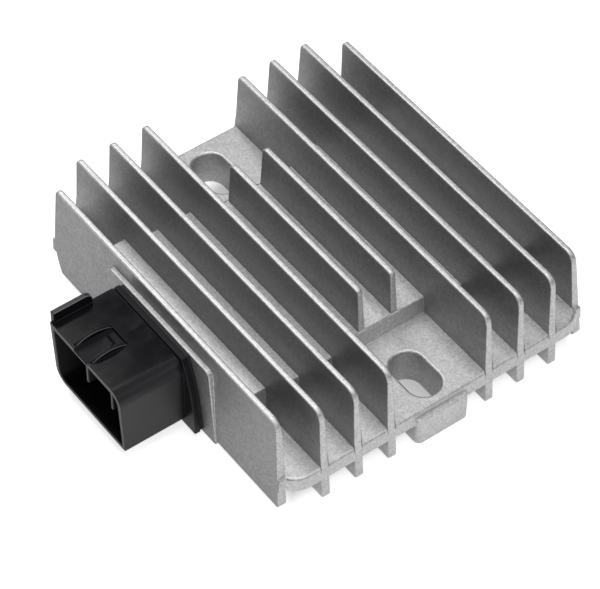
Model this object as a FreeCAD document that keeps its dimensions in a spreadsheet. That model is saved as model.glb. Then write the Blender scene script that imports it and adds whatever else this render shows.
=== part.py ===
import FreeCAD, Part
import math
import os
import Sketcher
from types import SimpleNamespace

# Voltage regulator rectifier in a finned die-cast housing.
# Frame: X runs along the fins, Y across them, Z up. The origin lies on the mounting face,
# midway between the two slotted holes. The connector is on the -Y side. All sizes in mm.

doc = FreeCAD.newDocument("RegulatorRectifier")
sheet = doc.addObject("Spreadsheet::Sheet", "Sizes")

# Driving sizes: name, value, meaning.
SIZES = [
    # Fins and side walls of the casting
    ("fin_pitch", "9.7", "spacing of the ten fin places across the body"),
    ("fin_tip", "1.5", "fin thickness at the top"),
    ("fin_root", "2.3", "fin thickness at the underside of the base plate"),
    ("stub_foot", "2.2", "thickness of the fin stubs at the mounting face"),
    ("total_height", "28.8", "mounting face to fin tops"),
    ("long_front", "49.1", "long fins, top front end from the origin"),
    ("long_back", "50.2", "long fins, top back end from the origin"),
    ("side_front", "45.9", "outermost fins, top front end"),
    ("side_back", "44.6", "outermost fins, top back end"),
    ("short_front", "25.0", "two middle fins, top front end"),
    ("short_back", "26.4", "two middle fins, top back end"),
    ("end_draft", "4.2", "draft angle of all end faces, degrees"),
    ("side_lean", "1.2", "how far the outer face of a side wall stands out at its foot"),
    ("side_inner", "0.2", "how far the inner face of a side wall stands out at its foot"),
    ("side_clear", "0.9", "side walls stop this far above the mounting face"),
    ("far_inset", "0.8", "top of the far side wall inwards of its fin place"),
    ("front_round", "3.0", "rounding of the top front fin corners"),
    ("back_round", "1.5", "rounding of the other top fin corners"),
    ("foot_round", "0.8", "rounding of the lower fin corners"),
    ("sweep_height", "11.5", "height at which the lower back corner of a side wall starts to turn in"),
    ("sweep_round", "20.0", "radius of that lower back corner"),
    # Base plate, raised block and tray
    ("plate_top", "10.4", "top of the base plate above the mounting face"),
    ("plate_thick", "4.0", "base plate thickness"),
    ("plate_corner", "7.2", "plan radius of the two front plate corners"),
    ("plate_back_corner", "9.0", "plan radius of the two back plate corners"),
    ("plate_edge", "0.8", "rounding of the plate's upper end edges"),
    ("block_top", "15.5", "top of the raised block between the fins"),
    ("block_front", "28.4", "outer parts of the block, top front end"),
    ("block_back", "29.8", "outer parts of the block, top back end"),
    ("middle_front", "26.3", "middle part of the block, top front end"),
    ("middle_back", "27.5", "middle part of the block, top back end"),
    ("ridge_top", "18.2", "top of the higher block beside the connector"),
    ("roof_thick", "3.2", "metal above the tray"),
    ("tray_wall", "2.4", "end walls of the tray"),
    ("tray_edge", "1.5", "tray sides inwards of the outermost fin places"),
    ("tray_corner", "2.0", "inside corner radius of the tray"),
    ("ridge_roof", "1.8", "metal above the connector recess"),
    ("recess_depth", "7.0", "connector recess, from the side wall inwards"),
    # Mounting
    ("slot_spacing", "81.4", "distance between the slotted holes"),
    ("slot_width", "8.6", "width of each slotted hole"),
    ("slot_length", "14.7", "length of each slotted hole"),
    ("slot_rim", "0.5", "chamfer at the upper rim of each slot"),
    ("foot_width", "15.4", "width of the mounting foot under each slot"),
    ("foot_front", "51.9", "front end of the front mounting foot"),
    ("foot_back", "52.6", "back end of the back mounting foot"),
    ("foot_corner", "1.5", "corner radius of the mounting feet"),
    # Pad on the side wall that carries the connector
    ("pad_left", "2.0", "connector pad beyond the flange, towards the back"),
    ("pad_right", "3.0", "connector pad beyond the flange, towards the front"),
    ("pad_spread", "1.9", "how much further each end stands at the foot"),
    ("pad_drop", "4.8", "top of the connector pad below the fin tops"),
    ("pad_face", "45.9", "outer face of the connector pad from the centre plane"),
    ("pad_round", "1.8", "radius of the two upper pad corners"),
    # Connector shell
    ("seal_thick", "0.8", "gasket between pad and flange"),
    ("seal_inset", "0.25", "gasket set back from the flange edge"),
    ("flange_thick", "1.6", "flange thickness"),
    ("flange_rim", "3.8", "flange beyond the shell on each side, at its foot"),
    ("flange_lean", "4.5", "how much further in each side of the flange stands at its top"),
    ("flange_side", "55.0", "radius of the two arched sides of the flange"),
    ("flange_bottom", "0.7", "lower edge of the flange"),
    ("flange_top", "23.9", "upper edge of the flange"),
    ("blade_side", "1.65", "outer blades to the socket's side walls"),
    ("shell_bottom", "2.8", "underside of the shell"),
    ("shell_top", "23.2", "top of the shell"),
    ("shell_reach", "17.8", "shell length in front of the flange"),
    ("shell_wall", "1.4", "side and bottom walls of the shell"),
    ("shell_roof", "1.8", "top wall of the shell"),
    ("shell_floor", "2.8", "wall between socket and flange"),
    ("key_round", "4.0", "large rounding of two opposite shell corners"),
    ("small_round", "1.0", "small rounding of the lower front shell corner"),
    ("mouth_rake", "0.7", "how far the lower lip of the mouth is set back"),
    ("tab_thick", "1.4", "upright tab at the back edge of the shell top"),
    ("tab_rise", "3.1", "height of that tab"),
    ("tab_length", "11.0", "length of that tab"),
    ("tab_setback", "0.6", "tab set back from the mouth"),
    ("tab_overhang", "0.4", "tab stands out beyond the shell's side"),
    ("tab_round", "2.0", "rounding of the inner end of that tab"),
    ("rail_centre", "-1.6", "centre of the latch rails along X"),
    ("rail_spacing", "6.7", "distance between the latch rails"),
    ("rail_thick", "1.1", "latch rail thickness"),
    ("rail_length", "10.4", "latch rail length"),
    ("rail_rise", "1.4", "latch rail height at its crown"),
    ("rail_setback", "0.5", "latch rail set back from the mouth"),
    ("latch_depth", "0.9", "recess between the latch rails"),
    ("nib_rise", "1.2", "height of the locking nib above the recess"),
    ("nib_length", "2.4", "length of the locking nib"),
    ("nib_setback", "6.5", "locking nib from the mouth"),
    ("rib_thick", "0.9", "thickness of the two ribs inside the socket"),
    ("rib_drop", "7.8", "height of those ribs below the socket roof"),
    ("rib_place", "-0.8", "first rib from the centre along X"),
    ("rib_offset", "10.2", "second rib from the first"),
    ("rib_setback", "1.0", "ribs set back from the mouth"),
    ("rib_length", "6.0", "length of those ribs"),
    ("plug_side", "1.55", "plastic beside the outer blades in the shell's body"),
    ("plug_bottom", "3.6", "underside of that body"),
    ("plug_top", "16.0", "top of that body"),
    ("plug_gap", "0.3", "clearance of that body in the wall opening"),
    # Blade terminals
    ("blade_width", "6.3", "blade width"),
    ("blade_thick", "0.8", "blade thickness"),
    ("blade_spacing", "8.4", "spacing of the blades along X"),
    ("blade_tip", "8.0", "blade tips behind the mouth"),
    ("upper_row", "13.4", "height of the upper blades' underside"),
    ("tail_width", "2.4", "width of the soldered tails"),
    ("tail_offset", "1.9", "tails beside the blade centre"),
    ("tail_reach", "7.0", "length of the tails on the board"),
    # Electronics inside the tray
    ("pad_sheet", "0.4", "thermal sheet between roof and board"),
    ("board_thick", "1.6", "thickness of the insulated metal board"),
    ("board_gap", "1.5", "board edge to tray wall"),
    ("potting_level", "1.2", "potting surface above the mounting face"),
    ("device_width", "10.0", "thyristor and diode body width"),
    ("device_length", "9.0", "thyristor and diode body length"),
    ("device_thick", "4.4", "thyristor and diode body thickness"),
    ("device_tab", "6.0", "length of the metal tab"),
    ("tab_gauge", "1.3", "thickness of the metal tab"),
    ("tab_hole", "3.6", "hole in the metal tab"),
    ("device_pitch", "14.5", "spacing of the power devices along X"),
    ("lead_width", "0.9", "device lead width"),
    ("lead_thick", "0.5", "device lead thickness"),
    ("lead_pitch", "2.54", "device lead spacing"),
    ("lead_length", "3.5", "device lead length"),
    ("thyristor_line", "-7.0", "lead ends of the thyristors across the body"),
    ("diode_line", "15.0", "lead ends of the diodes across the body"),
    ("bus_width", "2.6", "width of the bus strips"),
    ("bus_thick", "0.8", "thickness of the bus strips"),
    ("chip_length", "5.0", "control circuit body length"),
    ("chip_width", "4.0", "control circuit body width"),
    ("chip_thick", "1.6", "control circuit body thickness"),
    ("can_radius", "3.1", "filter capacitor radius"),
    ("can_height", "6.4", "filter capacitor height"),
    ("resistor_length", "6.4", "gate resistor length"),
    ("resistor_width", "3.2", "gate resistor width"),
    ("resistor_thick", "0.7", "gate resistor thickness"),
    ("zener_length", "4.4", "reference diode length"),
    ("zener_width", "2.6", "reference diode width"),
    ("zener_thick", "2.2", "reference diode thickness"),
    ("small_line", "-22.0", "line of the small parts across the body"),
]
for line, (alias, value, meaning) in enumerate(SIZES, start=1):
    sheet.set(f"A{line}", meaning)
    sheet.set(f"B{line}", value)
    sheet.setAlias(f"B{line}", alias)
doc.recompute()


class Measure:
    """A size as a number for placing geometry and as the expression that drives it."""

    def __init__(self, value, text):
        self.value = value
        self.text = text

    @staticmethod
    def of(thing):
        return thing if isinstance(thing, Measure) else Measure(float(thing), repr(float(thing)))

    def join(self, sign, other, result):
        return Measure(result, f"({self.text} {sign} {other.text})")

    def __add__(self, other):
        other = Measure.of(other)
        return self.join("+", other, self.value + other.value)

    def __sub__(self, other):
        other = Measure.of(other)
        return self.join("-", other, self.value - other.value)

    def __mul__(self, other):
        other = Measure.of(other)
        return self.join("*", other, self.value * other.value)

    def __truediv__(self, other):
        other = Measure.of(other)
        return self.join("/", other, self.value / other.value)

    def __radd__(self, other):
        return Measure.of(other) + self

    def __rsub__(self, other):
        return Measure.of(other) - self

    def __rmul__(self, other):
        return Measure.of(other) * self

    def __neg__(self):
        return Measure.of(0) - self


def tangent(angle):
    """The slope of a draft angle given in degrees."""
    return Measure(math.tan(math.radians(angle.value)), f"tan({angle.text} * 1 deg)")


m = SimpleNamespace(**{alias: Measure(float(value), f"Sizes.{alias}") for alias, value, _ in SIZES})
ZERO = Measure.of(0)


def bind(thing, name, measure):
    thing.setExpression(name, Measure.of(measure).text)


def new_body(name):
    return doc.addObject("PartDesign::Body", name)


def new_sketch(body, name, role, offset=ZERO):
    """A sketch on one of the body's own origin planes, moved along that plane's normal."""
    sketch = body.newObject("Sketcher::SketchObject", name)
    plane = next(f for f in body.Origin.OriginFeatures if f.Role == role)
    sketch.AttachmentSupport = [(plane, "")]
    sketch.MapMode = "FlatFace"
    bind(sketch, "AttachmentOffset.Base.z", offset)
    return sketch


def fix(sketch, kind, measure, *places):
    """One driving dimension of a sketch, bound to the sheet."""
    index = sketch.addConstraint(Sketcher.Constraint(kind, *places, measure.value))
    bind(sketch, f"Constraints[{index}]", measure)


def join_ends(sketch, kind, first, second):
    """The end of one line or arc meets the start of the next."""
    sketch.addConstraint(Sketcher.Constraint(kind, first, 2, second, 1))


def fix_point(sketch, geometry, place, x, y):
    fix(sketch, "DistanceX", x, -1, 1, geometry, place)
    fix(sketch, "DistanceY", y, -1, 1, geometry, place)


def vector(x, y, z=0.0):
    return FreeCAD.Vector(x, y, z)


def polygon(sketch, corners):
    """A closed outline of straight lines through the corners."""
    first = sketch.GeometryCount
    count = len(corners)
    for i in range(count):
        x0, y0 = corners[i]
        x1, y1 = corners[(i + 1) % count]
        start = vector(x0.value, y0.value)
        end = vector(x1.value, y1.value)
        sketch.addGeometry(Part.LineSegment(start, end), False)
    for i in range(count):
        join_ends(sketch, "Coincident", first + i, first + (i + 1) % count)
    for i in range(count):
        fix_point(sketch, first + i, 1, *corners[i])


def rectangle(sketch, x0, x1, y0, y1):
    polygon(sketch, [(x0, y0), (x1, y0), (x1, y1), (x0, y1)])


def rounded_rectangle(sketch, x0, x1, y0, y1, radii):
    """A rectangle with one radius a corner, from the lower right one counter-clockwise; None is sharp."""
    corners = []
    places = ((x1, y0, -1, 1), (x1, y1, -1, -1), (x0, y1, 1, -1), (x0, y0, 1, 1))
    for i, (x, y, inward_x, inward_y) in enumerate(places):
        at = vector(x.value, y.value)
        if radii[i] is None:
            corners.append(SimpleNamespace(arc=None, x=x, y=y, start=at, end=at))
            continue
        centre_x = x + radii[i] * inward_x
        centre_y = y + radii[i] * inward_y
        circle = Part.Circle(vector(centre_x.value, centre_y.value), vector(0, 0, 1), radii[i].value)
        turn = (i - 1) * math.pi / 2
        arc = Part.ArcOfCircle(circle, turn, turn + math.pi / 2)
        corners.append(SimpleNamespace(arc=sketch.addGeometry(arc, False), x=centre_x, y=centre_y,
                                       start=arc.StartPoint, end=arc.EndPoint))
    lines = []
    for i in range(4):
        side = Part.LineSegment(corners[i].end, corners[(i + 1) % 4].start)
        lines.append(sketch.addGeometry(side, False))
    for i, corner in enumerate(corners):
        if corner.arc is None:
            join_ends(sketch, "Coincident", lines[i - 1], lines[i])
            fix_point(sketch, lines[i], 1, corner.x, corner.y)
        else:
            join_ends(sketch, "Tangent", lines[i - 1], corner.arc)
            join_ends(sketch, "Tangent", corner.arc, lines[i])
            fix_point(sketch, corner.arc, 3, corner.x, corner.y)
            fix(sketch, "Radius", radii[i], corner.arc)


def arched_outline(sketch, foot, top, low, high, radius):
    """An outline with a straight foot and top, both centred, and two sides that bulge outwards."""
    corners = [(-foot, low), (foot, low), (top, high), (-top, high)]
    at = [vector(x.value, y.value) for x, y in corners]
    for i, start in enumerate(at):
        end = at[(i + 1) % 4]
        if i % 2 == 0:
            sketch.addGeometry(Part.LineSegment(start, end), False)
            continue
        chord = end - start
        inward = vector(-chord.y, chord.x) / chord.Length
        centre = (start + end) / 2 + inward * math.sqrt(radius.value ** 2 - (chord.Length / 2) ** 2)
        first = math.atan2(start.y - centre.y, start.x - centre.x)
        last = math.atan2(end.y - centre.y, end.x - centre.x)
        if last < first:
            last += 2 * math.pi
        circle = Part.Circle(centre, vector(0, 0, 1), radius.value)
        sketch.addGeometry(Part.ArcOfCircle(circle, first, last), False)
    for i, (x, y) in enumerate(corners):
        join_ends(sketch, "Coincident", i, (i + 1) % 4)
        fix_point(sketch, i, 1, x, y)
    for arc in (1, 3):
        fix(sketch, "Radius", radius, arc)


def stadium(sketch, centre, length, width):
    """A slot along the sketch's X axis, centred on that axis."""
    first = sketch.GeometryCount
    half = (length - width).value / 2
    r = width.value / 2
    x = centre.value
    quarter = math.pi / 2
    right_end = Part.Circle(vector(x + half, 0), vector(0, 0, 1), r)
    left_end = Part.Circle(vector(x - half, 0), vector(0, 0, 1), r)
    sketch.addGeometry(Part.ArcOfCircle(right_end, -quarter, quarter), False)
    sketch.addGeometry(Part.LineSegment(vector(x + half, r), vector(x - half, r)), False)
    sketch.addGeometry(Part.ArcOfCircle(left_end, quarter, 3 * quarter), False)
    sketch.addGeometry(Part.LineSegment(vector(x - half, -r), vector(x + half, -r)), False)
    for i in range(4):
        join_ends(sketch, "Tangent", first + i, first + (i + 1) % 4)
    fix_point(sketch, first, 3, centre + (length - width) / 2, ZERO)
    fix_point(sketch, first + 2, 3, centre - (length - width) / 2, ZERO)
    fix(sketch, "Radius", width / 2, first)


def pad(body, name, sketch, length, side="One side", reverse=False):
    feature = body.newObject("PartDesign::Pad", name)
    feature.Profile = sketch
    feature.SideType = side
    feature.Reversed = reverse
    bind(feature, "Length", length)
    doc.recompute()
    return feature


def pocket(body, name, sketch, length=None, side="One side", reverse=False):
    """A cut that has to remove metal; without a length it goes right through."""
    before = body.Shape.Volume
    feature = body.newObject("PartDesign::Pocket", name)
    feature.Profile = sketch
    feature.SideType = side
    feature.Reversed = reverse
    if length is None:
        feature.Type = "ThroughAll"
    else:
        bind(feature, "Length", length)
    doc.recompute()
    if body.Shape.Volume > before - 1e-3:
        raise ValueError(f"{name} cuts nothing")
    return feature


def edges_where(body, test):
    """Names of the straight edges of the body's tip whose middle and direction pass the test."""
    names = []
    for i, edge in enumerate(body.Tip.Shape.Edges, start=1):
        if edge.Curve.TypeId != "Part::GeomLine":
            continue
        middle = edge.valueAt((edge.FirstParameter + edge.LastParameter) / 2)
        along = edge.Curve.Direction
        if test(middle, along, edge.BoundBox):
            names.append(f"Edge{i}")
    return names


def round_edges(body, name, test, radius, kind="PartDesign::Fillet"):
    """Round or chamfer the edges that pass the test."""
    base = body.Tip
    chosen = edges_where(body, test)
    if not chosen:
        raise ValueError(f"{name} finds no edge")
    feature = body.newObject(kind, name)
    feature.Base = (base, chosen)
    bind(feature, "Size" if kind.endswith("Chamfer") else "Radius", radius)
    doc.recompute()
    return feature


def near(a, b, slack=0.02):
    return abs(a - b) < slack


# Housing: one aluminium die casting with ten fins, base plate, raised block, tray and feet.
housing = new_body("housing")
slope = tangent(m.end_draft)
fin_lean = slope * m.total_height
half_array = m.fin_pitch * 4.5

# Widths of the connector, from the outer blades outwards, and of the pad that carries it.
blade_half = m.blade_spacing + m.blade_width / 2
plug_half = blade_half + m.plug_side
socket_half = blade_half + m.blade_side
shell_half = socket_half + m.shell_wall
flange_half = shell_half + m.flange_rim
pad_front = flange_half + m.pad_right
pad_back = flange_half + m.pad_left
pad_top = m.total_height - m.pad_drop

plate_bottom = m.plate_top - m.plate_thick
side_slope = m.side_lean / m.total_height
inner_slope = m.side_inner / m.total_height


def fin_sections(sketch, places):
    """Fins that narrow upwards from the plate, and downwards to their stubs."""
    for place in places:
        centre = m.fin_pitch * place
        polygon(sketch, [(centre - m.stub_foot / 2, ZERO), (centre + m.stub_foot / 2, ZERO),
                         (centre + m.fin_root / 2, plate_bottom), (centre + m.fin_tip / 2, m.total_height),
                         (centre - m.fin_tip / 2, m.total_height), (centre - m.fin_root / 2, plate_bottom)])


def wall_sections(sketch, places):
    """Side walls with two faces that lean outwards, the outer one more; they end above the mounting face."""
    for place in places:
        side = 1 if place > 0 else -1
        centre = m.fin_pitch * place
        height = m.total_height - m.side_clear
        outer_foot = centre + (m.fin_tip / 2 + side_slope * height) * side
        inner_foot = centre - (m.fin_tip / 2 - inner_slope * height) * side
        top_centre = centre - m.far_inset if place > 0 else centre
        polygon(sketch, [(inner_foot, m.side_clear), (outer_foot, m.side_clear),
                         (top_centre + m.fin_tip / 2 * side, m.total_height),
                         (top_centre - m.fin_tip / 2 * side, m.total_height)])


def fin_group(name, places, front, back, front_radius, levels, foot_level=None, sections=fin_sections):
    """Fins of one length: padded along X, then both ends cut to their draft and rounded."""
    front_foot = front + fin_lean
    back_foot = back + fin_lean
    sketch = new_sketch(housing, f"{name}Sections", "YZ_Plane", -back_foot)
    sections(sketch, places)
    pad(housing, f"{name}Pad", sketch, front_foot + back_foot)
    ends = new_sketch(housing, f"{name}Ends", "XZ_Plane")
    for low, high in levels:
        for side, top_end in ((1, front), (-1, back)):
            high_end = top_end + slope * (m.total_height - high)
            low_end = top_end + slope * (m.total_height - low)
            outside = low_end + m.fin_pitch
            polygon(ends, [(high_end * side, high), (low_end * side, low),
                           (outside * side, low), (outside * side, high)])
    pocket(housing, f"{name}Trim", ends, side="Symmetric")
    top = m.total_height.value
    round_edges(housing, f"{name}FrontRound",
                lambda p, d, b: near(p.z, top) and abs(d.y) > 0.9 and near(p.x, front.value), front_radius)
    round_edges(housing, f"{name}BackRound",
                lambda p, d, b: near(p.z, top) and abs(d.y) > 0.9 and near(p.x, -back.value), m.back_round)
    if foot_level is not None:
        lift = slope.value * foot_level.value
        round_edges(housing, f"{name}FootRound",
                    lambda p, d, b: near(p.z, foot_level.value) and abs(d.y) > 0.9
                    and (near(p.x, front_foot.value - lift) or near(p.x, lift - back_foot.value)), m.foot_round)


# Base plate: rounded corners, drafted all round, with a rounded upper edge.
plate_lean = slope * m.plate_thick
plate_half = half_array + m.fin_tip / 2 + side_slope * (m.total_height - m.plate_top) - plate_lean
plate_front = m.long_front + slope * (m.total_height - m.plate_top)
plate_back = m.long_back + slope * (m.total_height - m.plate_top)
plate = new_sketch(housing, "PlateOutline", "XY_Plane", plate_bottom)
rounded_rectangle(plate, -(plate_back + plate_lean), plate_front + plate_lean,
                  -(plate_half + plate_lean), plate_half + plate_lean,
                  [m.plate_corner, m.plate_corner, m.plate_back_corner, m.plate_back_corner])
plate_pad = pad(housing, "Plate", plate, m.plate_thick)
bind(plate_pad, "TaperAngle", -m.end_draft)
doc.recompute()
round_edges(housing, "PlateEdges",
            lambda p, d, b: near(p.z, m.plate_top.value) and abs(d.y) > 0.9, m.plate_edge)

off_plate = [(ZERO, plate_bottom), (m.plate_top, m.total_height)]
wall_off_plate = [(m.side_clear, plate_bottom), (m.plate_top, m.total_height)]
full_height = [(ZERO, m.total_height)]
fin_group("ShortFins", [-0.5, 0.5], m.short_front, m.short_back, m.back_round, off_plate)
fin_group("SideWalls", [-4.5, 4.5], m.side_front, m.side_back, m.front_round, wall_off_plate,
          m.side_clear, wall_sections)

# The lower back corner of each side wall turns in along an arc below the plate.
sweep = new_sketch(housing, "WallSweep", "XZ_Plane")
wall_back_foot = m.side_back + fin_lean
sweep_x = m.sweep_round + slope * m.sweep_height - wall_back_foot
sweep_circle = Part.Circle(vector(sweep_x.value, m.sweep_height.value), vector(0, 0, 1), m.sweep_round.value)
sweep_turns = [math.pi + math.asin((m.sweep_height.value - level.value) / m.sweep_round.value)
               for level in (plate_bottom, ZERO)]
sweep_arc = Part.ArcOfCircle(sweep_circle, *sweep_turns)
outside = wall_back_foot + m.fin_pitch
outer_corners = [vector(-outside.value, 0), vector(-outside.value, plate_bottom.value)]
sweep.addGeometry(sweep_arc, False)
sweep_lines = [(sweep_arc.EndPoint, outer_corners[0]), outer_corners,
               (outer_corners[1], sweep_arc.StartPoint)]
for line_start, line_end in sweep_lines:
    sweep.addGeometry(Part.LineSegment(line_start, line_end), False)
for i in range(4):
    join_ends(sweep, "Coincident", i, (i + 1) % 4)
fix_point(sweep, 0, 3, sweep_x, m.sweep_height)
fix(sweep, "Radius", m.sweep_round, 0)
fix_point(sweep, 2, 1, -outside, ZERO)
fix_point(sweep, 3, 1, -outside, plate_bottom)
for arc_end, level in ((1, plate_bottom), (2, ZERO)):
    fix(sweep, "DistanceY", level, -1, 1, 0, arc_end)
pocket(housing, "WallSweepCut", sweep, side="Symmetric")
fin_group("LongFins", [-3.5, -2.5, -1.5, 1.5, 2.5, 3.5], m.long_front, m.long_back, m.front_round,
          full_height, ZERO)

# Raised block: a middle part under the short fins, longer parts either side and a higher ridge.
def block_profile(name, front, back, top, offset=ZERO):
    """Side view of a block that reaches from the mounting face to its drafted top."""
    sketch = new_sketch(housing, name, "XZ_Plane", offset)
    polygon(sketch, [(-back, top), (-(back + slope * top), ZERO), (front + slope * top, ZERO), (front, top)])
    return sketch


middle = block_profile("MiddleBlockProfile", m.middle_front, m.middle_back, m.block_top)
pad(housing, "MiddleBlock", middle, half_array * 2, side="Symmetric")
inner_fin = m.fin_pitch * 1.5
near_block = block_profile("NearBlockProfile", m.block_front, m.block_back, m.block_top, half_array)
pad(housing, "NearBlock", near_block, half_array - inner_fin, reverse=True)
far_block = block_profile("FarBlockProfile", m.block_front, m.block_back, m.block_top, -half_array)
pad(housing, "FarBlock", far_block, half_array - inner_fin)
ridge = block_profile("RidgeProfile", m.block_front, m.block_back, m.ridge_top, half_array)
pad(housing, "Ridge", ridge, m.fin_pitch, reverse=True)

# Connector pad on the outside of the -Y wall.
connector_pad = new_sketch(housing, "ConnectorPadOutline", "XZ_Plane", m.pad_face)
polygon(connector_pad, [(-(pad_back + m.pad_spread), ZERO), (pad_front + m.pad_spread, ZERO),
                        (pad_front, pad_top), (-pad_back, pad_top)])
pad(housing, "ConnectorPad", connector_pad, m.pad_face - half_array, reverse=True)
round_edges(housing, "ConnectorPadCorners",
            lambda p, d, b: abs(d.y) > 0.9 and near(p.z, pad_top.value) and p.y < -half_array.value,
            m.pad_round)

# Mounting feet under the two slotted holes.
feet = (("FrontFoot", m.middle_front, m.foot_front), ("BackFoot", -m.foot_back, -m.middle_back))
for name, start, end in feet:
    foot = new_sketch(housing, f"{name}Outline", "XY_Plane")
    rectangle(foot, start, end, -(m.foot_width / 2), m.foot_width / 2)
    pad(housing, name, foot, plate_bottom + m.plate_thick / 2)
round_edges(housing, "FootCorners",
            lambda p, d, b: abs(d.z) > 0.99 and near(abs(p.y), m.foot_width.value / 2)
            and (near(p.x, m.foot_front.value) or near(p.x, -m.foot_back.value)), m.foot_corner)

# Tray for the electronics, open below, with a deeper recess behind the connector.
cavity_half = half_array - m.tray_edge
cavity_front = m.middle_front - m.tray_wall
cavity_back = m.middle_back - m.tray_wall
cavity_top = m.block_top - m.roof_thick


def tray_outline(body, name, level=ZERO):
    """The tray in plan, for the casting and for what fills it."""
    sketch = new_sketch(body, name, "XY_Plane", level)
    rounded_rectangle(sketch, -cavity_back, cavity_front, -cavity_half, cavity_half, [m.tray_corner] * 4)
    return sketch


pocket(housing, "Tray", tray_outline(housing, "TrayOutline"), cavity_top, reverse=True)
recess_top = m.ridge_top - m.ridge_roof
recess_half = plug_half + m.plug_gap


def recess_outline(body, name):
    """The deeper recess behind the connector, in plan."""
    sketch = new_sketch(body, name, "XY_Plane", cavity_top)
    rectangle(sketch, -recess_half, recess_half, -cavity_half, m.recess_depth - cavity_half)
    return sketch


pocket(housing, "Recess", recess_outline(housing, "RecessOutline"), recess_top - cavity_top, reverse=True)
opening = new_sketch(housing, "WallOpening", "XZ_Plane", m.pad_face)
rectangle(opening, -recess_half, recess_half, m.plug_bottom - m.plug_gap, m.plug_top + m.plug_gap)
pocket(housing, "WallOpeningCut", opening, m.pad_face - cavity_half)

# Slotted holes along X, right through plate and foot, broken at the upper rim.
slots = new_sketch(housing, "SlotOutlines", "XY_Plane")
for side in (-1, 1):
    stadium(slots, m.slot_spacing * (side / 2), m.slot_length, m.slot_width)
slot_cut = pocket(housing, "Slots", slots, reverse=True)
rim = []
for i, edge in enumerate(slot_cut.Shape.Edges, start=1):
    at = edge.BoundBox
    along = abs(abs(at.Center.x) - m.slot_spacing.value / 2)
    level = near(at.ZMin, m.plate_top.value) and near(at.ZMax, m.plate_top.value)
    if level and along < m.slot_length.value / 2 and max(at.YMax, -at.YMin) < m.slot_width.value / 2 + 0.02:
        rim.append(f"Edge{i}")
rim_break = housing.newObject("PartDesign::Chamfer", "SlotRims")
rim_break.Base = (slot_cut, rim)
bind(rim_break, "Size", m.slot_rim)
doc.recompute()

# Connector shell: black moulded plastic, a flange against the pad and a socket open to -Y.
shell = new_body("connector_shell")
seal_face = m.pad_face + m.seal_thick
flange_face = seal_face + m.flange_thick
mouth = flange_face + m.shell_reach
socket_top = m.shell_top - m.shell_roof
socket_bottom = m.shell_bottom + m.shell_wall
socket_depth = m.shell_reach - m.shell_floor


def flange_outline(body, name, offset, inset):
    """The flange seen from the front, or the gasket's edge that much inside it."""
    sketch = new_sketch(body, name, "XZ_Plane", offset)
    foot = flange_half - inset
    arched_outline(sketch, foot, foot - m.flange_lean, m.flange_bottom + inset, m.flange_top - inset,
                   m.flange_side)
    return sketch


pad(shell, "Flange", flange_outline(shell, "FlangeOutline", seal_face, ZERO), m.flange_thick)
tube = new_sketch(shell, "ShellOutline", "XZ_Plane", flange_face)
rounded_rectangle(tube, -shell_half, shell_half, m.shell_bottom, m.shell_top,
                  [m.small_round, m.key_round, None, m.key_round])
pad(shell, "Tube", tube, m.shell_reach)
rake = new_sketch(shell, "MouthRake", "YZ_Plane")
polygon(rake, [(-mouth, m.shell_top), (-mouth, m.shell_bottom), (m.mouth_rake - mouth, m.shell_bottom)])
pocket(shell, "MouthRakeCut", rake, side="Symmetric")
socket = new_sketch(shell, "SocketOutline", "XZ_Plane", mouth)
inner_round = m.key_round - m.shell_wall
rounded_rectangle(socket, -socket_half, socket_half, socket_bottom, socket_top,
                  [None, inner_round, None, inner_round])
pocket(shell, "Socket", socket, socket_depth)

# Latch: a shallow recess in the roof between two arched rails, with a locking nib.
latch_floor = m.shell_top - m.latch_depth
latch_half = (m.rail_spacing - m.rail_thick) / 2
recess = new_sketch(shell, "LatchRecess", "XZ_Plane", mouth)
rectangle(recess, m.rail_centre - latch_half, m.rail_centre + latch_half,
          latch_floor, m.shell_top + m.latch_depth)
pocket(shell, "LatchRecessCut", recess, m.rail_setback + m.rail_length)
rail_start = m.rail_setback - mouth
rail_end = rail_start + m.rail_length


def rail_profile(name, x):
    """A low arch over the roof: a straight foot in the roof and a round crown."""
    sketch = new_sketch(shell, name, "YZ_Plane", x)
    half = m.rail_length / 2
    radius = (half * half + m.rail_rise * m.rail_rise) / (m.rail_rise * 2)
    middle_y = rail_start.value + half.value
    centre_z = m.shell_top.value + m.rail_rise.value - radius.value
    corners = [(rail_start, latch_floor), (rail_end, latch_floor),
               (rail_end, m.shell_top), (rail_start, m.shell_top)]
    at = [vector(y.value, z.value) for y, z in corners]
    lift = math.acos(half.value / radius.value)
    circle = Part.Circle(vector(middle_y, centre_z), vector(0, 0, 1), radius.value)
    crown = Part.ArcOfCircle(circle, lift, math.pi - lift)
    for geometry in (Part.LineSegment(at[0], at[1]), Part.LineSegment(at[1], at[2]), crown,
                     Part.LineSegment(at[3], at[0])):
        sketch.addGeometry(geometry, False)
    for i, (y, z) in enumerate(corners):
        join_ends(sketch, "Coincident", i, (i + 1) % 4)
        fix_point(sketch, i, 1, y, z)
    fix(sketch, "Radius", radius, 2)
    return sketch


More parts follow.
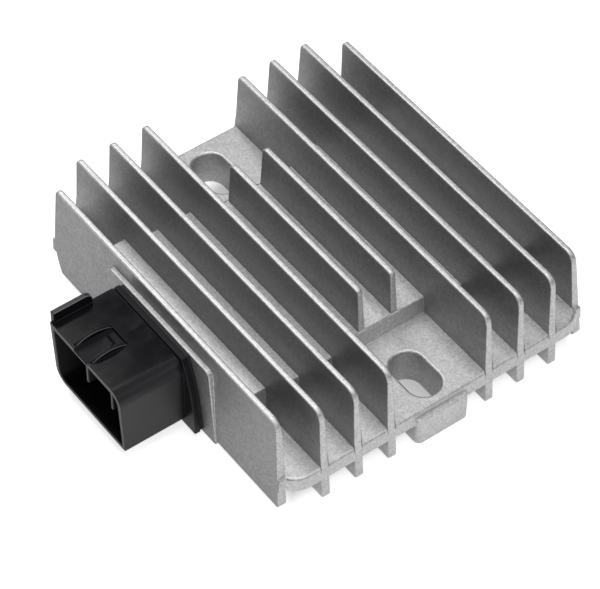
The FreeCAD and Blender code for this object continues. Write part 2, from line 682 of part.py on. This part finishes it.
for name, side in (("BackRail", -1), ("FrontRail", 1)):
    rail_x = m.rail_centre + m.rail_spacing * (side / 2)
    pad(shell, name, rail_profile(f"{name}Profile", rail_x), m.rail_thick, side="Symmetric")
nib = new_sketch(shell, "NibProfile", "YZ_Plane", m.rail_centre)
nib_start = m.nib_setback - mouth
polygon(nib, [(nib_start, latch_floor), (nib_start + m.nib_length, latch_floor),
              (nib_start + m.nib_length, latch_floor + m.nib_rise)])
pad(shell, "Nib", nib, latch_half, side="Symmetric")
tab = new_sketch(shell, "TabOutline", "XZ_Plane", mouth - m.tab_setback)
tab_side = shell_half + m.tab_overhang
rectangle(tab, -tab_side, m.tab_thick - tab_side, socket_top, m.shell_top + m.tab_rise)
pad(shell, "Tab", tab, m.tab_length, reverse=True)
tab_end = m.tab_setback + m.tab_length - mouth
round_edges(shell, "TabRound",
            lambda p, d, b: abs(d.x) > 0.9 and near(p.z, m.shell_top.value + m.tab_rise.value)
            and near(p.y, tab_end.value), m.tab_round)

# Two ribs hang from the socket roof and keep a wrong plug out.
ribs = new_sketch(shell, "RibOutlines", "XZ_Plane", mouth - m.rib_setback)
for rib in range(2):
    rib_x = m.rib_place + m.rib_offset * rib
    rectangle(ribs, rib_x - m.rib_thick / 2, rib_x + m.rib_thick / 2,
              socket_top - m.rib_drop, m.shell_top - m.shell_roof / 2)
pad(shell, "Ribs", ribs, m.rib_length, reverse=True)

# The shell's body passes through the wall and carries the terminals.
plug = new_sketch(shell, "PlugOutline", "XZ_Plane", seal_face)
rectangle(plug, -plug_half, plug_half, m.plug_bottom, m.plug_top)
pad(shell, "Plug", plug, seal_face - cavity_half, reverse=True)
board_under = cavity_top - m.pad_sheet - m.board_thick
lower_row = board_under - m.blade_thick
rows = {"lower": lower_row, "upper": m.upper_row}
columns = (-1, 0, 1)
blade_slots = new_sketch(shell, "BladeSlots", "XZ_Plane", flange_face + m.shell_floor)
for row in rows.values():
    for column in columns:
        x = m.blade_spacing * column
        rectangle(blade_slots, x - m.blade_width / 2, x + m.blade_width / 2, row, row + m.blade_thick)
pocket(shell, "BladeSlotCuts", blade_slots, flange_face + m.shell_floor - cavity_half)

# Gasket: a rubber ring between pad and flange, around the shell's body.
gasket = new_body("connector_gasket")
pad(gasket, "Ring", flange_outline(gasket, "RingOutline", m.pad_face, m.seal_inset), m.seal_thick)
hole = new_sketch(gasket, "RingHole", "XZ_Plane", seal_face)
rectangle(hole, -plug_half, plug_half, m.plug_bottom, m.plug_top)
pocket(gasket, "RingHoleCut", hole, m.seal_thick)


def box(name, x0, x1, y0, y1, z0, z1):
    """A block between two values along each axis."""
    block = doc.addObject("Part::Box", name)
    for side, low, high, axis in (("Length", x0, x1, "x"), ("Width", y0, y1, "y"), ("Height", z0, z1, "z")):
        bind(block, side, high - low)
        bind(block, f"Placement.Base.{axis}", low)
    return block


def fuse(name, blocks):
    joined = doc.addObject("Part::MultiFuse", name)
    joined.Shapes = blocks
    joined.Refine = True
    return joined


# Blade terminals: tinned brass strips, moulded into the shell and soldered under the board.
blade_end = m.blade_tip - mouth
blade_root = m.blade_thick - cavity_half
bend = blade_root + m.blade_thick
board_near = m.recess_depth + m.board_gap - cavity_half
tail_end = board_near + m.tail_reach
terminals = []
for row, low in rows.items():
    for column in columns:
        place = f"{row}_{column + 2}"
        x = m.blade_spacing * column
        tail_x = x + m.tail_offset * (1 if row == "upper" else -1)
        tail = (tail_x - m.tail_width / 2, tail_x + m.tail_width / 2)
        blocks = [box(f"Blade_{place}", x - m.blade_width / 2, x + m.blade_width / 2, blade_end, blade_root,
                      low, low + m.blade_thick)]
        if row == "upper":
            blocks.append(box(f"Step_{place}", *tail, blade_root, bend, low, low + m.blade_thick))
            blocks.append(box(f"Leg_{place}", *tail, bend, bend + m.blade_thick, lower_row, low + m.blade_thick))
            tail_start = bend
        else:
            tail_start = blade_root
        blocks.append(box(f"Tail_{place}", *tail, tail_start, tail_end, lower_row, board_under))
        terminals.append(fuse(f"terminal_{place}", blocks))

# Thermal sheet and circuit board under the roof of the tray.
board_x = (m.board_gap - cavity_back, cavity_front - m.board_gap)
board_y = (board_near, cavity_half - m.board_gap)
thermal_sheet = box("thermal_sheet", *board_x, *board_y, cavity_top - m.pad_sheet, cavity_top)
circuit_board = box("circuit_board", *board_x, *board_y, board_under, cavity_top - m.pad_sheet)


def power_device(name, x, line, leads):
    """A flat power package, metal tab up against the board, with leads bent up to it."""
    body_start = line + m.lead_length
    body_end = body_start + m.device_length
    low = board_under - m.device_thick
    half = m.device_width / 2
    blocks = [box(f"{name}Body", x - half, x + half, body_start, body_end, low, board_under)]
    plain_tab = box(f"{name}Tab", x - half, x + half, body_end, body_end + m.device_tab,
                    board_under - m.tab_gauge, board_under)
    bore = doc.addObject("Part::Cylinder", f"{name}Bore")
    bind(bore, "Radius", m.tab_hole / 2)
    bind(bore, "Height", m.tab_gauge)
    bind(bore, "Placement.Base.x", x)
    bind(bore, "Placement.Base.y", body_end + m.device_tab / 2)
    bind(bore, "Placement.Base.z", board_under - m.tab_gauge)
    drilled = doc.addObject("Part::Cut", f"{name}DrilledTab")
    drilled.Base = plain_tab
    drilled.Tool = bore
    blocks.append(drilled)
    lead_low = board_under - m.device_thick / 2
    for lead in range(leads):
        middle_x = x + m.lead_pitch * (lead - (leads - 1) / 2)
        sides = (middle_x - m.lead_width / 2, middle_x + m.lead_width / 2)
        blocks.append(box(f"{name}Lead{lead}", *sides, line, body_start, lead_low, lead_low + m.lead_thick))
        blocks.append(box(f"{name}Foot{lead}", *sides, line, line + m.lead_thick,
                          lead_low + m.lead_thick, board_under))
    return fuse(name, blocks)


devices = []
for i in columns:
    x = m.device_pitch * i
    devices.append(power_device(f"thyristor_{i + 2}", x, m.thyristor_line, 3))
    devices.append(power_device(f"rectifier_diode_{i + 2}", x, m.diode_line, 2))

# Bus strips and the small parts of the control circuit, all on the board's underside.
bus_half = m.device_pitch + m.device_width / 2
bus_low = board_under - m.bus_thick
ground_end = m.thyristor_line - m.bus_width
positive_start = m.diode_line + m.lead_length + m.device_length + m.device_tab + m.board_gap
ground_bus = box("ground_bus", -bus_half, bus_half, ground_end - m.bus_width, ground_end,
                 bus_low, board_under)
positive_bus = box("positive_bus", -bus_half, bus_half, positive_start, positive_start + m.bus_width,
                   bus_low, board_under)


def mounted(name, x, y, length, width, thick):
    """A small part soldered to the board's underside, centred on x and y."""
    return box(name, x - length / 2, x + length / 2, y - width / 2, y + width / 2,
               board_under - thick, board_under)


control_circuit = mounted("control_circuit", -m.device_pitch, m.small_line,
                          m.chip_length, m.chip_width, m.chip_thick)
reference_diode = mounted("reference_diode", ZERO, m.small_line, m.zener_length, m.zener_width, m.zener_thick)
filter_capacitor = doc.addObject("Part::Cylinder", "filter_capacitor")
bind(filter_capacitor, "Radius", m.can_radius)
bind(filter_capacitor, "Height", m.can_height)
bind(filter_capacitor, "Placement.Base.x", m.device_pitch)
bind(filter_capacitor, "Placement.Base.y", m.small_line)
bind(filter_capacitor, "Placement.Base.z", board_under - m.can_height)
resistor_line = ground_end - m.bus_width - m.resistor_width
resistors = [mounted(f"gate_resistor_{i + 2}", m.device_pitch * i, resistor_line, m.resistor_length,
                     m.resistor_width, m.resistor_thick) for i in columns]
small_parts = [ground_bus, positive_bus, control_circuit, reference_diode, filter_capacitor]
inner_pieces = terminals + [thermal_sheet, circuit_board] + devices + small_parts + resistors

# Potting compound: poured into the tray around all of that and set flush below the rim.
fill = new_body("TrayFill")
pad(fill, "Fill", tray_outline(fill, "FillOutline", m.potting_level), cavity_top - m.potting_level)
pad(fill, "RecessFill", recess_outline(fill, "RecessFillOutline"), recess_top - cavity_top)
embedded = doc.addObject("Part::Compound", "Embedded")
embedded.Links = inner_pieces
potting = doc.addObject("Part::Cut", "potting_compound")
potting.Base = fill
potting.Tool = embedded
doc.recompute()

for thing in doc.Objects:
    if "Invalid" in thing.State or "Error" in thing.State:
        raise ValueError(f"{thing.Name} failed: {thing.State}")
os.makedirs("parts", exist_ok=True)
for piece in [housing, shell, gasket, potting] + inner_pieces:
    piece.Label = piece.Name
    if piece.Shape.isNull() or not piece.Shape.isValid():
        raise ValueError(f"{piece.Name} has no valid shape")
    piece.Shape.exportStep(f"parts/{piece.Label}.step")
    print(piece.Label, len(piece.Shape.Solids), round(piece.Shape.Volume, 1))
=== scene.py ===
import math

import bmesh
import bpy
from mathutils import Matrix, Vector
from mathutils.geometry import intersect_point_line


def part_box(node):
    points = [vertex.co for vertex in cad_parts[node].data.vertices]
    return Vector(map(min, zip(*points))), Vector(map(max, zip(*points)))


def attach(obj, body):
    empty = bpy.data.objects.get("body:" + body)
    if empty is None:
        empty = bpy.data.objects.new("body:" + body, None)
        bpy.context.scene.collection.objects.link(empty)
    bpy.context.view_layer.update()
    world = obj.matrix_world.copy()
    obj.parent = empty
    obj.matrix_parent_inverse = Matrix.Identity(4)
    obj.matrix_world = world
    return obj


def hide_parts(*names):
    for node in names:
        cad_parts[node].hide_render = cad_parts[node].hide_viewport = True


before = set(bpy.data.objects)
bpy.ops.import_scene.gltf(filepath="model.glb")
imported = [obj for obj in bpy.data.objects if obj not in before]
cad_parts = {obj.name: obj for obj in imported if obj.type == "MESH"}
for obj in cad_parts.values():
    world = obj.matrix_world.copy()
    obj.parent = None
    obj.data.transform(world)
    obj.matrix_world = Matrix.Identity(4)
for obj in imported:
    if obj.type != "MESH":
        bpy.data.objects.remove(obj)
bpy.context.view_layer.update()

# Housing: one aluminium die casting, blasted to a fine even grain and left bare.
# Ten thin fins stand on a base plate with a stepped block, slotted feet and a tray below.
# The blasting has broken every edge a little and left the thin fin tops round, with a painted highlight on
# them.

MM = 0.001
fin_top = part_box("housing")[1][2]
plate_top = 10.4 * MM
pad_face = -45.9 * MM

BARE = (0.43, 0.77)
# Painted shade: the flank tones stand for the shade between the fins, deepening towards their tops, and for
# the shade on the outer side walls.
SHADED_FLANK_FOOT = (0.26, 0.47)
SHADED_FLANK_TOP = (0.175, 0.35)
SHADED_SIDE_WALL = (0.21, 0.41)
# Painted highlight: the crest tone makes the fin tops brighter than the bare metal.
HIGHLIT_CREST = (0.56, 0.90)


class Shade:
    """One shader socket. Arithmetic on it adds Math nodes; every other node comes from node()."""

    def __init__(self, tree, socket=None):
        self.tree = tree
        self.socket = socket

    def node(self, kind, settings, inputs, output=0):
        """The output of a new node in the same tree. Inputs go by number or by name."""
        made = self.tree.nodes.new("ShaderNode" + kind)
        for name, value in settings.items():
            setattr(made, name, value)
        for name, value in inputs.items():
            named = [socket for socket in made.inputs if name in (socket.identifier, socket.name)]
            socket = made.inputs[name] if isinstance(name, int) else named[0]
            if isinstance(value, Shade):
                self.tree.links.new(value.socket, socket)
            else:
                socket.default_value = value
        return Shade(self.tree, made.outputs[output])

    def math(self, operation, *values):
        """A Math node on these values, which don't include this socket unless it is named."""
        return self.node("Math", {"operation": operation}, dict(enumerate(values)))

    def __add__(self, other):
        return self.math("ADD", self, other)

    def __radd__(self, other):
        return self.math("ADD", other, self)

    def __sub__(self, other):
        return self.math("SUBTRACT", self, other)

    def __rsub__(self, other):
        return self.math("SUBTRACT", other, self)

    def __mul__(self, other):
        return self.math("MULTIPLY", self, other)

    def __rmul__(self, other):
        return self.math("MULTIPLY", other, self)

    def __or__(self, other):
        return self.math("MAXIMUM", self, other)

    def __abs__(self):
        return self.math("ABSOLUTE", self)

    def along(self, axis):
        """The X, Y or Z part of this vector."""
        return self.node("SeparateXYZ", {}, {"Vector": self}, axis)

    def between(self, low, high):
        """0 at low, 1 at high, and a smooth step from one to the other."""
        return self.node("MapRange", {"interpolation_type": "SMOOTHSTEP"},
                         {"Value": self, "From Min": low, "From Max": high})

    def mix(self, first, second):
        """A colour between two colours, with this value as the factor."""
        colour_output = 2
        return self.node("Mix", {"data_type": "RGBA"},
                         {"Factor_Float": self, "A_Color": first, "B_Color": second}, colour_output)

    def noise(self, size, detail, roughness):
        """Noise with features of about this size in metres; this socket is the place."""
        return self.node("TexNoise", {}, {"Vector": self, "Scale": 1 / size, "Detail": detail,
                                          "Roughness": roughness})

    def stretch(self, x, y, z):
        """This place with its axes scaled, which draws noise out along the axis scaled least."""
        return self.node("VectorMath", {"operation": "MULTIPLY"}, {0: self, 1: (x, y, z)})


def grey(level):
    return (level, level, level, 1.0)


def finish(name, paint):
    """A material whose surface values come from paint(place), where place is the point on the part."""
    material = bpy.data.materials.new(name)
    material.use_nodes = True
    tree = material.node_tree
    shader = tree.nodes["Principled BSDF"]
    place = Shade(tree).node("TexCoord", {}, {}, "Object")
    for socket, value in paint(place).items():
        if isinstance(value, Shade):
            tree.links.new(value.socket, shader.inputs[socket])
        else:
            shader.inputs[socket].default_value = value
    return material


def cast_paint(place):
    """Speckled blasted metal, with painted shade on the fin flanks, deeper towards their tops, painted shade
    on the outer side walls, and a painted highlight on the fin tops.
    """
    grain = place.noise(0.55 * MM, 3.0, 0.65)
    pits = place.noise(1.1 * MM, 2.0, 0.5)
    cloud = place.noise(6.0 * MM, 3.0, 0.55)
    streak = place.stretch(0.2, 1.0, 1.0).noise(4.0 * MM, 2.0, 0.5)
    tone = grain.between(0.3, 0.7) * 0.45 + pits.between(0.3, 0.7) * 0.25 + cloud * 0.2 + streak * 0.1

    def speckled(shades):
        return tone.mix(grey(shades[0]), grey(shades[1]))

    facing = place.node("NewGeometry", {}, {}, "Normal")
    height = place.along("Z")
    side_wall = abs(place.along("Y")).between(38 * MM, 39 * MM)
    fin_zone = side_wall | height.between(plate_top, plate_top + 0.6 * MM)
    # Painted shade on the faces turned along Y in the fin rows and on the outer side walls.
    flank = abs(facing.along("Y")).between(0.75, 0.97) * fin_zone
    climb = height.between(plate_top + 1.6 * MM, fin_top - 1.8 * MM)
    crest = height.between(fin_top - 0.6 * MM, fin_top - 0.1 * MM)
    painted_flank_shade = climb.mix(speckled(SHADED_FLANK_FOOT), speckled(SHADED_FLANK_TOP))
    colour = (flank * (1 - side_wall)).mix(speckled(BARE), painted_flank_shade)
    colour = (flank * side_wall).mix(colour, speckled(SHADED_SIDE_WALL))
    # Painted highlight on the fin tops.
    colour = crest.mix(colour, speckled(HIGHLIT_CREST))
    skin = grain * 0.6 + pits * 0.4
    bump = place.node("Bump", {}, {"Strength": 0.5, "Distance": 0.1 * MM, "Height": skin})
    return {"Base Color": colour, "Metallic": 0.85, "Roughness": grain.between(0.2, 0.8) * 0.12 + 0.46,
            "Normal": bump}


def room(edge, sharp):
    """How wide an edge can be rounded before that meets the rounding of another edge of its faces."""
    start, end = (vertex.co for vertex in edge.verts)
    along = (end - start).normalized()
    nearest = 10 * MM
    for other in {other for face in edge.link_faces for other in face.edges}:
        if other not in sharp or set(other.verts) & set(edge.verts):
            continue
        low, high = (vertex.co for vertex in other.verts)
        for probe in (start, (start + end) / 2, end):
            share = min(max(intersect_point_line(probe, low, high)[1], 0.0), 1.0)
            gap = low.lerp(high, share) - probe
            if abs(gap.dot(along)) < 0.5 * gap.length:
                nearest = min(nearest, gap.length)
    return nearest * 0.45


def softened(node, name, width, segments, material):
    """A node's solid as its visible piece, each sharp edge rounded by what width(edge) gives."""
    weld_gap = 1e-6
    flat = math.radians(0.3)
    crease = math.radians(28)
    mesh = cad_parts[node].data.copy()
    mesh.name = name
    work = bmesh.new()
    work.from_mesh(mesh)
    bmesh.ops.remove_doubles(work, verts=work.verts, dist=weld_gap)
    bmesh.ops.dissolve_limit(work, angle_limit=flat, verts=work.verts, edges=work.edges)
    weight = work.edges.layers.float.new("bevel_weight_edge")
    sharp = {edge for edge in work.edges if edge.is_manifold and edge.calc_face_angle() > crease}
    for edge in sharp:
        edge[weight] = min(width(edge), room(edge, sharp)) / MM
    for face in work.faces:
        face.smooth = True
    work.to_mesh(mesh)
    work.free()
    mesh.materials.clear()
    mesh.materials.append(material)
    piece = bpy.data.objects.new(name, mesh)
    bpy.context.scene.collection.objects.link(piece)
    bevel = piece.modifiers.new("broken_edges", "BEVEL")
    bevel.width = 1.0 * MM
    bevel.segments = segments
    bevel.limit_method = "WEIGHT"
    bevel.use_clamp_overlap = False
    bevel.harden_normals = True
    normals = piece.modifiers.new("flat_faces", "WEIGHTED_NORMAL")
    normals.keep_sharp = True
    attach(piece, "root")
    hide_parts(node)


def middle_of(edge):
    return (edge.verts[0].co + edge.verts[1].co) / 2


def cast_width(edge):
    """Fin tops and ends are rounded most, inner corners and the rim of the wall opening in the pad least."""
    x, y, z = middle_of(edge)
    flanks = [abs(face.normal.y) > 0.9 for face in edge.link_faces]
    if not edge.is_convex:
        return 0.15 * MM
    if y < pad_face + 0.1 * MM:
        return 0.3 * MM if abs(x) > 14 * MM or z > 18 * MM else 0.1 * MM
    if z > plate_top + 0.2 * MM and flanks.count(True) == 1:
        return 0.37 * MM
    return 0.3 * MM


softened("housing", "casting", cast_width, 3, finish("cast_metal", cast_paint))

# Connector shell: black glass-filled plastic from a polished tool, a little dusty on top.
# Flange, socket, latch rails, nib, tab and inner ribs are one moulding.
# Its body passes through an opening in the side wall, where the potting holds it.

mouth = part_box("connector_shell")[0][1]
flange_face = -48.3 * MM
shell_top = 23.2 * MM
rail_top = 24.6 * MM
rail_centre = -1.6 * MM
latch_floor = 22.3 * MM

BLACK = (0.0025, 0.0025, 0.0038, 1.0)
DUSTY_BLACK = (0.006, 0.0058, 0.008, 1.0)
# Painted reflection of the pale table on the shell's +X side, fading out near the flange.
PAINTED_SIDE_REFLECTION = (0.033, 0.033, 0.036, 1.0)
# A paler grey for the tab's top.
PALE_TAB_TOP = (0.05, 0.05, 0.054, 1.0)
# Painted highlight along the latch rails' rounded brinks.
BRINK_HIGHLIGHT = (0.2, 0.2, 0.205, 1.0)


def shell_paint(place):
    """Glossy on the roof and duller in the latch, with a paler tab top, a painted reflection on the +X side
    and a painted highlight along the rails' brinks.
    """
    grain = place.noise(0.3 * MM, 2.0, 0.5)
    cloud = place.noise(5.0 * MM, 3.0, 0.6)
    flow = place.stretch(1.0, 0.2, 1.0).noise(1.6 * MM, 3.0, 0.6)
    scuff = place.stretch(0.35, 1.0, 1.0).noise(1.1 * MM, 4.0, 0.75).between(0.60, 0.72)
    dust = (cloud * 0.6 + flow * 0.4).between(0.42, 0.68) + scuff * 0.5
    facing = place.node("NewGeometry", {}, {}, "Normal")
    endward = facing.along("X")
    upward = facing.along("Z")
    depth = place.along("Y")
    height = place.along("Z")
    level = upward.between(0.6, 0.95)
    raised = height.between(shell_top + 0.1 * MM, shell_top + 0.3 * MM)
    tab = level * height.between(rail_top + 0.2 * MM, rail_top + 0.6 * MM)
    roof = level * height.between(shell_top - 0.2 * MM, shell_top - 0.1 * MM) * (1 - raised)
    latch = level * height.between(latch_floor - 0.4 * MM, latch_floor - 0.3 * MM) * (1 - roof) * (1 - tab)
    # Painted reflection: the +X side from near the flange to the mouth is lifted to a grey.
    flank = endward.between(0.5, 0.95) * depth.between(flange_face - 0.5 * MM, flange_face - 1.7 * MM)
    # Painted highlight on the rails' rounded edges above the roof.
    brink = abs(endward).between(0.3, 0.5) * upward.between(0.3, 0.5)
    brink = brink * raised * depth.between(flange_face - 1.7 * MM, flange_face - 3.7 * MM)
    colour = dust.mix(BLACK, DUSTY_BLACK)
    colour = (flank * (1 - raised)).mix(colour, PAINTED_SIDE_REFLECTION)
    colour = tab.mix(colour, PALE_TAB_TOP)
    colour = brink.mix(colour, BRINK_HIGHLIGHT)
    bump = place.node("Bump", {}, {"Strength": 0.12, "Distance": 0.06 * MM, "Height": grain})
    return {"Base Color": colour, "Roughness": dust * 0.06 + 0.34 - roof * 0.2 + latch * 0.25,
            "Specular IOR Level": 0.26, "Normal": bump}


def shell_width(edge):
    """The tab has the softest edges; the latch rails and the recess between them have crisper ones."""
    x, y, z = middle_of(edge)
    on_roof = z > shell_top + 0.05 * MM
    if abs(x - rail_centre) < 4.5 * MM and mouth + 0.6 * MM < y < -50 * MM and z > latch_floor - 0.8 * MM:
        return 0.13 * MM if on_roof else 0.05 * MM
    if not edge.is_convex:
        return 0.08 * MM
    return 0.28 * MM if on_roof else 0.22 * MM


shell_plastic = finish("shell_plastic", shell_paint)
softened("connector_shell", "shell", shell_width, 3, shell_plastic)

# Gasket: a flat ring stamped from black rubber sheet, with the flange's outline.
# It is pressed between the casting's pad and the flange and keeps water out of the opening.


def rubber_paint(place):
    grain = place.noise(0.5 * MM, 2.0, 0.5)
    bump = place.node("Bump", {}, {"Strength": 0.3, "Distance": 0.05 * MM, "Height": grain})
    return {"Base Color": grain.mix(grey(0.008), grey(0.016)), "Roughness": 0.75, "Normal": bump}


def even(width):
    """The same rounding for every edge."""
    return lambda edge: width


softened("connector_gasket", "gasket", even(0.12 * MM), 2, finish("rubber", rubber_paint))

# Blade terminals: six strips stamped from brass and tin plated, three below and three above.
# They are moulded into the shell's floor, and their tails are soldered to the circuit board.

TIN_DARK = (0.56, 0.55, 0.52, 1.0)
TIN_BRIGHT = (0.74, 0.72, 0.68, 1.0)


def tin_paint(place):
    brushed = place.stretch(1.0, 0.08, 1.0).noise(0.4 * MM, 2.0, 0.5)
    return {"Base Color": brushed.mix(TIN_DARK, TIN_BRIGHT), "Metallic": 1.0,
            "Roughness": brushed * 0.2 + 0.25}


tin = finish("tin", tin_paint)
for row in ("lower", "upper"):
    for column in (1, 2, 3):
        softened(f"terminal_{row}_{column}", f"blade_{row}_{column}", even(0.1 * MM), 1, tin)

# Potting: dark resin with a few pale specks of filler.
# It is poured into the upturned tray over the electronics, levels itself and hardens there.


def resin_paint(place):
    cloud = place.noise(12.0 * MM, 3.0, 0.5)
    speck = place.noise(1.2 * MM, 1.0, 0.4).between(0.68, 0.74)
    tone = cloud.mix(grey(0.018), grey(0.034))
    return {"Base Color": speck.mix(tone, grey(0.07)), "Roughness": cloud * 0.2 + 0.28}


softened("potting_compound", "potting", even(0.1 * MM), 1, finish("resin", resin_paint))

# Electronics: moulded power devices, chips, a metal board on a thermal sheet, copper strips and a can.
# All of it is soldered or pressed together and lies sealed in the resin, so it keeps its plain solids.


def sealed_paint(dark, bright, metallic, roughness):
    """A slightly clouded colour."""
    def paint(place):
        cloud = place.noise(1.5 * MM, 3.0, 0.5)
        return {"Base Color": cloud.mix(dark, bright), "Metallic": metallic,
                "Roughness": cloud * 0.1 + roughness}
    return paint


def coat(name, paint, nodes):
    """Gives these nodes one new material in place of their own."""
    material = finish(name, paint)
    for node in nodes:
        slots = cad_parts[node].data.materials
        slots.clear()
        slots.append(material)


power_devices = [f"{kind}_{place}" for kind in ("thyristor", "rectifier_diode") for place in (1, 2, 3)]
resistors = [f"gate_resistor_{place}" for place in (1, 2, 3)]
BOARD_GREEN = (0.02, 0.12, 0.05, 1.0)
BOARD_PALE = (0.03, 0.17, 0.07, 1.0)
COPPER_DARK = (0.62, 0.30, 0.18, 1.0)
COPPER_BRIGHT = (0.75, 0.42, 0.28, 1.0)

coat("device", sealed_paint(grey(0.012), grey(0.024), 0.0, 0.5),
     power_devices + ["control_circuit", "reference_diode"])
coat("chip", sealed_paint(grey(0.05), grey(0.08), 0.0, 0.4), resistors)
coat("board", sealed_paint(BOARD_GREEN, BOARD_PALE, 0.0, 0.35), ["circuit_board"])
coat("heat_sheet", sealed_paint(grey(0.3), grey(0.38), 0.0, 0.7), ["thermal_sheet"])
coat("copper", sealed_paint(COPPER_DARK, COPPER_BRIGHT, 1.0, 0.3), ["ground_bus", "positive_bus"])
coat("can", sealed_paint(grey(0.55), grey(0.68), 1.0, 0.3), ["filter_capacitor"])

# Table: matt white paper, with a painted shadow under the part, where its colour and its glow are lower.
# Its glow shows only to the camera, in reflections and through glass, and lights nothing.

half_table = 3.0
sunk = 0.02 * MM
corners = [(-half_table, -half_table, 0), (half_table, -half_table, 0),
           (half_table, half_table, 0), (-half_table, half_table, 0)]
table_mesh = bpy.data.meshes.new("table")
table_mesh.from_pydata(corners, [], [(0, 1, 2, 3)])
table = bpy.data.objects.new("table", table_mesh)
bpy.context.scene.collection.objects.link(table)
table.location.z = -sunk

paper = bpy.data.materials.new("paper")
paper.use_nodes = True
paper.cycles.emission_sampling = "NONE"
tree = paper.node_tree
spot = Shade(tree).node("TexCoord", {}, {}, "Object")
# Painted shadow: under the part the paper's colour drops to a dark grey and its glow to half.
open_table = abs(spot.along("X")).between(43 * MM, 49 * MM) | abs(spot.along("Y")).between(37 * MM, 43 * MM)
seen, mirrored, through = (spot.node("LightPath", {}, {}, f"Is {kind} Ray")
                           for kind in ("Camera", "Glossy", "Transmission"))
glow = (seen * 0.7 + mirrored * 0.36 + through * 0.7) * (open_table * 0.5 + 0.5)
matt = spot.node("BsdfDiffuse", {}, {"Color": open_table.mix(grey(0.3), grey(0.8))})
white = spot.node("Emission", {}, {"Color": grey(1.0), "Strength": glow})
both = spot.node("AddShader", {}, {0: matt, 1: white})
tree.links.new(both.socket, tree.nodes["Material Output"].inputs["Surface"])
table_mesh.materials.append(paper)

# Lamps: a large soft box overhead, a wide one towards the front end and a small low one beside
# the connector. All three aim at the part's middle from the same distance, in a dim white room.

world = bpy.data.worlds.new("room")
bpy.context.scene.world = world
world.use_nodes = True
background = world.node_tree.nodes["Background"]
background.inputs["Color"].default_value = grey(1.0)
background.inputs["Strength"].default_value = 0.04

lamp_target = Vector((0.0, 0.0, 0.012))
lamp_distance = 0.7
fin_line = Vector((1.0, 0.0, 0.0))


def add_lamp(name, direction, length, width, watts):
    """A rectangular lamp in this direction from the part, its length turned as near to the fins as can be."""
    lamp = bpy.data.lights.new(name, "AREA")
    lamp.shape = "RECTANGLE"
    lamp.size = length
    lamp.size_y = width
    lamp.energy = watts
    light = bpy.data.objects.new(name, lamp)
    away = Vector(direction).normalized()
    lengthwise = (fin_line - away * away.x).normalized()
    turn = Matrix((lengthwise, away.cross(lengthwise), away)).transposed().to_4x4()
    light.matrix_world = Matrix.Translation(lamp_target + away * lamp_distance) @ turn
    bpy.context.scene.collection.objects.link(light)


add_lamp("overhead", (-0.30, 0.0, 0.95), 1.00, 0.34, 4.1)
add_lamp("front", (0.62, 0.0, 0.76), 0.28, 0.75, 1.7)
add_lamp("side", (0.0, -0.93, 0.35), 0.30, 0.30, 0.75)

# Camera: a long lens from the front right and well above, as the photograph was taken.
# Its angles, distance and focal length come from a fit to corners of the part in the photograph.

azimuth = math.radians(53.621)
elevation = math.radians(48.739)
roll = math.radians(-0.063)
camera_distance = 0.7171
focal_pixels = 2989.15
frame_pixels = 600
aim = Vector((7.73, -9.60, 15.0)) * MM
away = Vector((math.sin(azimuth) * math.cos(elevation), -math.cos(azimuth) * math.cos(elevation),
               math.sin(elevation)))
lens = bpy.data.cameras.new("camera")
lens.sensor_width = 36.0
lens.lens = focal_pixels * lens.sensor_width / frame_pixels
lens.clip_end = 10.0
camera = bpy.data.objects.new("camera", lens)
turn = away.to_track_quat("Z", "Y").to_matrix() @ Matrix.Rotation(roll, 3, "Z")
camera.matrix_world = Matrix.Translation(aim + away * camera_distance) @ turn.to_4x4()
bpy.context.scene.collection.objects.link(camera)
bpy.context.scene.camera = camera
bpy.context.scene.view_settings.view_transform = "Standard"
